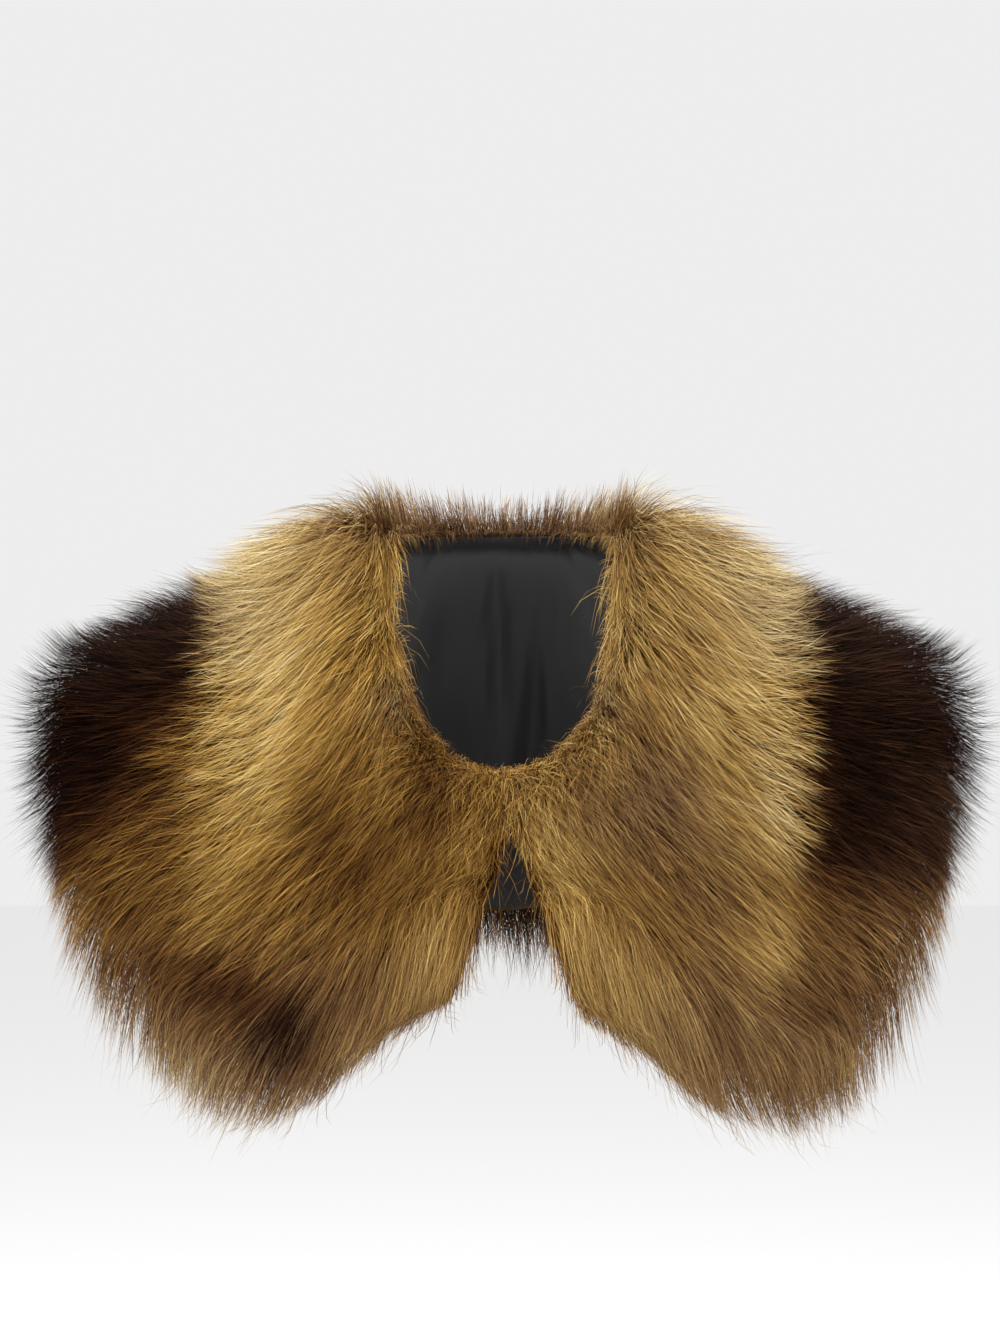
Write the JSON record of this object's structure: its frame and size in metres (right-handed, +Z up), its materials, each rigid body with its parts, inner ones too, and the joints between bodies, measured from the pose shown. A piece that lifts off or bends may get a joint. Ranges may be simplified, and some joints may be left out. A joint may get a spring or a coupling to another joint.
{
  "type": "fur collar wrap",
  "caption": "Long-haired fur shawl collar, worn round the neck and over the shoulders, lined, closed at the throat with a hook and eye.",
  "frame": {"origin": "the middle of the wearer's shoulder line at the base of the neck, where the wrap is held", "axes": "+Z up, the open front faces -Y, the wearer's left side is on +X"},
  "size_m": [0.4744, 0.2903, 0.3049],
  "materials": {
    "fur_golden": "long golden brown fur, fawn near the neck, brown towards the hem",
    "fur_dark": "long dark brown fur over the shoulders",
    "lining": "black satin lining, soft sheen",
    "clasp": "black enamelled wire"
  },
  "bodies": {
    "root": {"fur_front_left": "fur_golden", "fur_shoulder_left": "fur_dark", "fur_back": "fur_golden", "fur_shoulder_right": "fur_dark", "fur_front_right": "fur_golden", "lining": "lining", "clasp_eye": "clasp", "clasp_hook": "clasp"}
  },
  "joints": []
}
